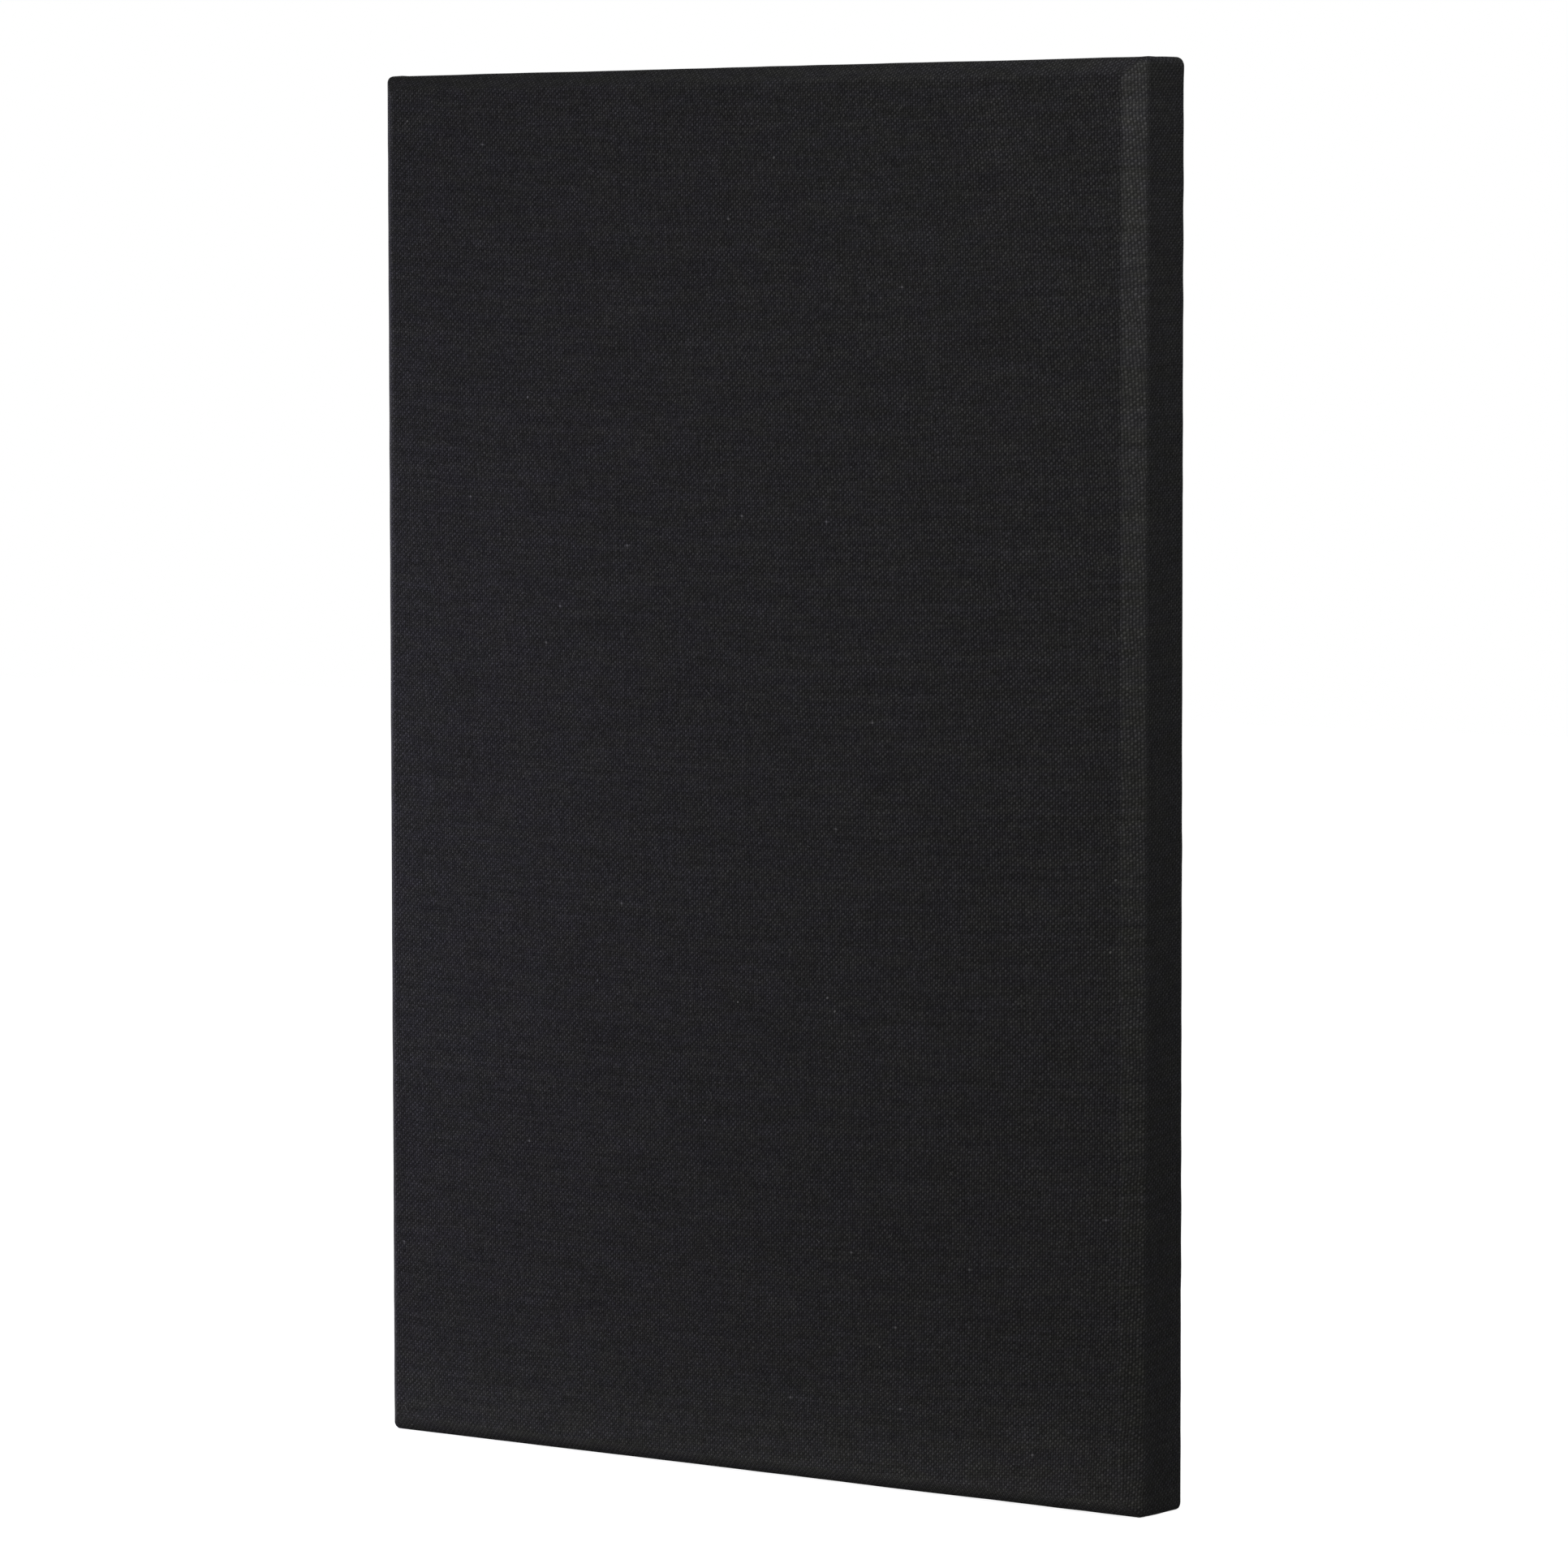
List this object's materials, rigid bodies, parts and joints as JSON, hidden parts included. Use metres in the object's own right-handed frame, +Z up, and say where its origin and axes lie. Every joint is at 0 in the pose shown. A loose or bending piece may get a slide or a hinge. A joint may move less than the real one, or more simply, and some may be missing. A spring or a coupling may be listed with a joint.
{
  "type": "acoustic panel",
  "caption": "Cloth-wrapped acoustic absorber panel with bevelled front edges, a timber frame, a mineral wool core, swinging hanger rings and wall bumpers.",
  "frame": {"origin": "middle of the box round the part, on the surface that its bottom edge stands on", "axes": "+Z up the panel's long side, +Y from the front face towards the wall, +X to the right of someone who looks at the front face"},
  "size_m": [0.61, 0.062, 0.914],
  "materials": {
    "cover_cloth": "coarse black plain weave, matt",
    "dust_cloth": "thin black non-woven cloth, point bonded",
    "glass_tissue": "thin black glass tissue",
    "mineral_wool": "rigid mineral wool, matt",
    "timber": "planed pine, bare",
    "plate_steel": "zinc plated",
    "screw_steel": "zinc plated",
    "rubber": "matt black"
  },
  "bodies": {
    "panel": {"absorber_core": "mineral_wool", "absorber_facing": "glass_tissue", "corner_plate_bottom_left": "plate_steel", "corner_plate_bottom_right": "plate_steel", "corner_plate_screw_bottom_left_rail_1": "screw_steel", "corner_plate_screw_bottom_left_rail_2": "screw_steel", "corner_plate_screw_bottom_left_stile_1": "screw_steel", "corner_plate_screw_bottom_left_stile_2": "screw_steel", "corner_plate_screw_bottom_right_rail_1": "screw_steel", "corner_plate_screw_bottom_right_rail_2": "screw_steel", "corner_plate_screw_bottom_right_stile_1": "screw_steel", "corner_plate_screw_bottom_right_stile_2": "screw_steel", "corner_plate_screw_top_left_rail_1": "screw_steel", "corner_plate_screw_top_left_rail_2": "screw_steel", "corner_plate_screw_top_left_stile_1": "screw_steel", "corner_plate_screw_top_left_stile_2": "screw_steel", "corner_plate_screw_top_right_rail_1": "screw_steel", "corner_plate_screw_top_right_rail_2": "screw_steel", "corner_plate_screw_top_right_stile_1": "screw_steel", "corner_plate_screw_top_right_stile_2": "screw_steel", "corner_plate_top_left": "plate_steel", "corner_plate_top_right": "plate_steel", "dust_cloth": "dust_cloth", "fabric_cover": "cover_cloth", "frame_bottom_rail": "timber", "frame_joint_screw_left_bottom_1": "screw_steel", "frame_joint_screw_left_bottom_2": "screw_steel", "frame_joint_screw_left_top_1": "screw_steel", "frame_joint_screw_left_top_2": "screw_steel", "frame_joint_screw_right_bottom_1": "screw_steel", "frame_joint_screw_right_bottom_2": "screw_steel", "frame_joint_screw_right_top_1": "screw_steel", "frame_joint_screw_right_top_2": "screw_steel", "frame_left_stile": "timber", "frame_right_stile": "timber", "frame_top_rail": "timber", "hanger_plate_left": "plate_steel", "hanger_plate_right": "plate_steel", "hanger_screw_left_1": "screw_steel", "hanger_screw_left_2": "screw_steel", "hanger_screw_right_1": "screw_steel", "hanger_screw_right_2": "screw_steel", "wall_bumper_bottom_left": "rubber", "wall_bumper_bottom_right": "rubber", "wall_bumper_top_left": "rubber", "wall_bumper_top_right": "rubber"},
    "ring_left": {"hanger_ring_left": "plate_steel"},
    "ring_right": {"hanger_ring_right": "plate_steel"}
  },
  "joints": [
    {"name": "ring_left_swing", "type": "hinge", "parent": "panel", "child": "ring_left", "pos_m": [-0.2885, 0.02695, 0.764], "axis": [1, 0, 0], "range_deg": [0, 180]},
    {"name": "ring_right_swing", "type": "hinge", "parent": "panel", "child": "ring_right", "pos_m": [0.2885, 0.02695, 0.764], "axis": [1, 0, 0], "range_deg": [0, 180]}
  ]
}
